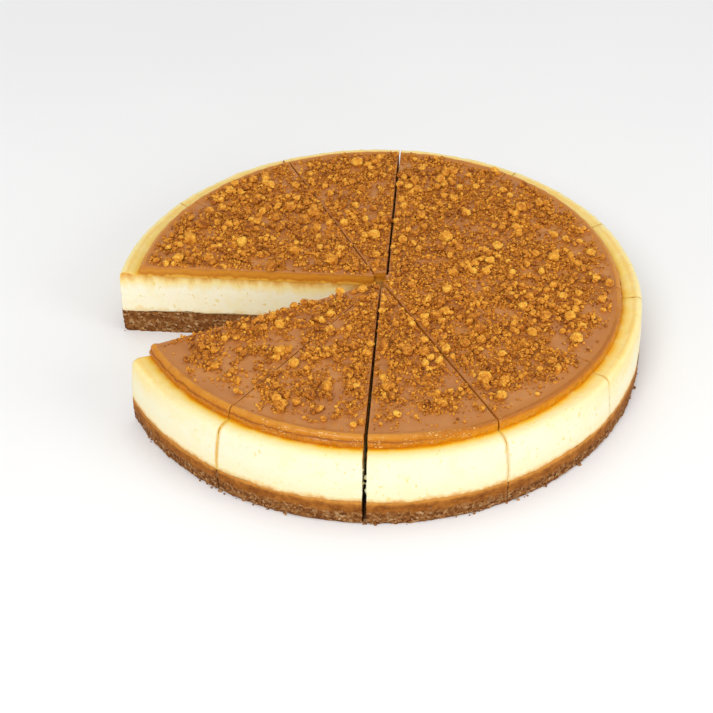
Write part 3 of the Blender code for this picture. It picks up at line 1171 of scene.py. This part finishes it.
class CheesecakeColours(bpy.types.PropertyGroup):
    """The main colours of the cake."""

    base: FloatVectorProperty(name="Base", description="The biscuit base's smooth upper part",
                              subtype="COLOR", min=0, max=1, default=shade(150, 88, 26))
    filling: FloatVectorProperty(name="Filling", description="The cheese filling's wall",
                                 subtype="COLOR", min=0, max=1, default=shade(243, 238, 206))
    rim: FloatVectorProperty(name="Rim", description="The baked top of the filling's rim",
                             subtype="COLOR", min=0, max=1, default=shade(246, 222, 142))
    glaze: FloatVectorProperty(name="Glaze", description="The topping's flat top",
                               subtype="COLOR", min=0, max=1, default=shade(190, 125, 66))
    caramel: FloatVectorProperty(name="Caramel", description="The topping's raised lip",
                                 subtype="COLOR", min=0, max=1, default=shade(206, 130, 16))
    crumb_dark: FloatVectorProperty(name="Dark Crumb", description="The darkest biscuit crumbs",
                                    subtype="COLOR", min=0, max=1, default=shade(104, 48, 6))
    crumb: FloatVectorProperty(name="Crumb", description="The usual biscuit crumbs",
                               subtype="COLOR", min=0, max=1, default=shade(190, 112, 26))
    crumb_light: FloatVectorProperty(name="Light Crumb", description="The lighter biscuit crumbs",
                                     subtype="COLOR", min=0, max=1, default=shade(240, 164, 50))


class CheesecakeSizes(bpy.types.PropertyGroup):
    """How fine the layers are made."""

    rib_spacing: FloatProperty(name="Rib Spacing", description="Distance between sections along the rim",
                               unit="LENGTH", min=0.3 * MM, max=10 * MM, default=0.75 * MM)


class CheesecakeCrumbs(bpy.types.PropertyGroup):
    """The crumbs on the topping."""

    seed: IntProperty(name="Seed", description="Another number lays the crumbs another way",
                      min=0, default=12)


class CheesecakeStudio(bpy.types.PropertyGroup):
    """The camera, the light and the floor."""

    camera_height: FloatProperty(name="Camera Height", description="Height of the camera above the floor",
                                 unit="LENGTH", default=0.4702)
    camera_distance: FloatProperty(name="Camera Distance",
                                   description="How far it stands in front of the cake's middle",
                                   unit="LENGTH", default=0.5952)
    camera_pitch: FloatProperty(name="Camera Pitch", description="How far it looks down",
                                subtype="ANGLE", unit="ROTATION", default=math.radians(38.83))
    camera_yaw: FloatProperty(name="Camera Yaw", description="How far it looks to the right",
                              subtype="ANGLE", unit="ROTATION", default=math.radians(-1.01))
    camera_roll: FloatProperty(name="Camera Roll", description="How far it is tilted",
                               subtype="ANGLE", unit="ROTATION", default=math.radians(-0.67))
    camera_lens: FloatProperty(name="Camera Lens", description="Focal length on a 36 mm sensor",
                               subtype="DISTANCE_CAMERA", default=77.3)
    key_power: FloatProperty(name="Key Light", description="Power of the main soft light",
                             unit="POWER", min=0, default=7.2)
    fill_power: FloatProperty(name="Fill Light", description="Power of the light from the side",
                              unit="POWER", min=0, default=3.5)
    sky: FloatProperty(name="Surroundings", description="Brightness of the white surroundings",
                       min=0, default=0.7)


# ---------------------------------------------------------------- operators


class MakeStage(bpy.types.Operator):
    """Set up the pale floor, the soft light and the camera"""

    bl_idname = "cheesecake.stage"
    bl_label = "Stage"

    def execute(self, context):
        studio = context.scene.cheesecake_studio
        bpy.ops.mesh.primitive_circle_add(vertices=96, radius=4, fill_type="NGON")
        floor = context.object
        floor.name = "studio_floor"
        floor.data.materials.append(floor_material())

        world = bpy.data.worlds.new("white_surroundings")
        world.use_nodes = True
        background = world.node_tree.nodes["Background"]
        background.inputs["Color"].default_value = (1, 1, 1, 1)
        background.inputs["Strength"].default_value = studio.sky
        context.scene.world = world

        self.add_light(context, "key_light", (-0.35, -0.95, 1.0), 0.6, studio.key_power)
        self.add_light(context, "fill_light", (0.95, -0.55, 0.6), 0.7, studio.fill_power)

        camera = bpy.data.objects.new("camera", bpy.data.cameras.new("camera"))
        context.scene.collection.objects.link(camera)
        camera.data.lens = studio.camera_lens
        camera.data.sensor_width = 36
        camera.data.clip_start = 0.01
        turn = Matrix.Rotation(-studio.camera_yaw, 4, "Z")
        turn @= Matrix.Rotation(math.pi / 2 - studio.camera_pitch, 4, "X")
        turn @= Matrix.Rotation(studio.camera_roll, 4, "Z")
        camera.matrix_world = Matrix.Translation((0, -studio.camera_distance, studio.camera_height)) @ turn
        context.scene.camera = camera
        context.scene.view_settings.view_transform = "Standard"
        return {"FINISHED"}

    @staticmethod
    def add_light(context, name, place, width, power):
        light = bpy.data.lights.new(name, "AREA")
        light.shape = "DISK"
        light.size = width
        light.energy = power
        lamp = bpy.data.objects.new(name, light)
        lamp.location = place
        lamp.rotation_euler = (-Vector(place)).to_track_quat("-Z", "Y").to_euler()
        context.scene.collection.objects.link(lamp)


class MakeBase(bpy.types.Operator):
    """Make the biscuit base of every slice"""

    bl_idname = "cheesecake.biscuit_base"
    bl_label = "Biscuit Base"

    def execute(self, context):
        make_layers(context, "biscuit_base", "baked", base_material(), base_section, shape_base)
        return {"FINISHED"}


class MakeFilling(bpy.types.Operator):
    """Make the cheese filling of every slice, with its rim"""

    bl_idname = "cheesecake.cheese_filling"
    bl_label = "Cheese Filling"

    def execute(self, context):
        make_layers(context, "cheese_filling", "baked", filling_material(), filling_section, shape_filling)
        return {"FINISHED"}


class MakeTopping(bpy.types.Operator):
    """Make the caramel topping of every slice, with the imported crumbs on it"""

    bl_idname = "cheesecake.caramel_topping"
    bl_label = "Caramel Topping"

    def execute(self, context):
        make_layers(context, "caramel_topping", "set", topping_material(), topping_section, shape_topping)
        return {"FINISHED"}


class MakeCrumbs(bpy.types.Operator):
    """Scatter the loose biscuit crumbs on the topping"""

    bl_idname = "cheesecake.crumbs"
    bl_label = "Crumbs"

    def execute(self, context):
        material = crumb_material()
        bed = crumb_bed()
        for name, kind in KINDS.items():
            mesh = heap(name, kind, list(scattered(bed, kind)), bed.chance)
            add_piece(name, mesh, material, "biscuit_crumbs")
        return {"FINISHED"}


class MakeBits(bpy.types.Operator):
    """Make the bits of cheese and base that the knife left in the cuts and at the foot"""

    bl_idname = "cheesecake.bits"
    bl_label = "Bits from Cutting"

    def execute(self, context):
        chance = np.random.default_rng(context.scene.cheesecake_crumbs.seed + 1)
        scraps = heap("cheese_scraps", SCRAPS, list(scrap_places(chance)), chance)
        add_piece("cheese_scraps", scraps, scrap_material(), "cheese_filling")
        fallen = heap("fallen_base_bits", FALLEN, list(fallen_places(chance)), chance)
        add_piece("fallen_base_bits", fallen, fallen_material(), "biscuit_base")
        return {"FINISHED"}


class CheesecakePanel(bpy.types.Panel):
    """The cake's settings and the pieces to make"""

    bl_idname = "VIEW3D_PT_cheesecake"
    bl_label = "Cheesecake"
    bl_space_type = "VIEW_3D"
    bl_region_type = "UI"
    bl_category = "Cheesecake"

    def draw(self, context):
        layout = self.layout
        for group in SETTINGS:
            settings = getattr(context.scene, group)
            for name in settings.__annotations__:
                layout.prop(settings, name)
        for operator in OPERATORS:
            layout.operator(operator.bl_idname)


OPERATORS = (MakeStage, MakeBase, MakeFilling, MakeTopping, MakeCrumbs, MakeBits)
SETTINGS = {
    "cheesecake_colours": CheesecakeColours,
    "cheesecake_sizes": CheesecakeSizes,
    "cheesecake_crumbs": CheesecakeCrumbs,
    "cheesecake_studio": CheesecakeStudio,
}


def register():
    for group in (*SETTINGS.values(), *OPERATORS, CheesecakePanel):
        bpy.utils.register_class(group)
    for name, group in SETTINGS.items():
        setattr(bpy.types.Scene, name, PointerProperty(type=group))


def unregister():
    for name in SETTINGS:
        delattr(bpy.types.Scene, name)
    for group in (CheesecakePanel, *reversed(OPERATORS), *reversed(SETTINGS.values())):
        bpy.utils.unregister_class(group)


def main():
    register()
    bpy.ops.cheesecake.stage()
    bpy.ops.cheesecake.biscuit_base()
    bpy.ops.cheesecake.cheese_filling()
    bpy.ops.cheesecake.caramel_topping()
    bpy.ops.cheesecake.crumbs()
    bpy.ops.cheesecake.bits()


if __name__ == "__main__":
    main()
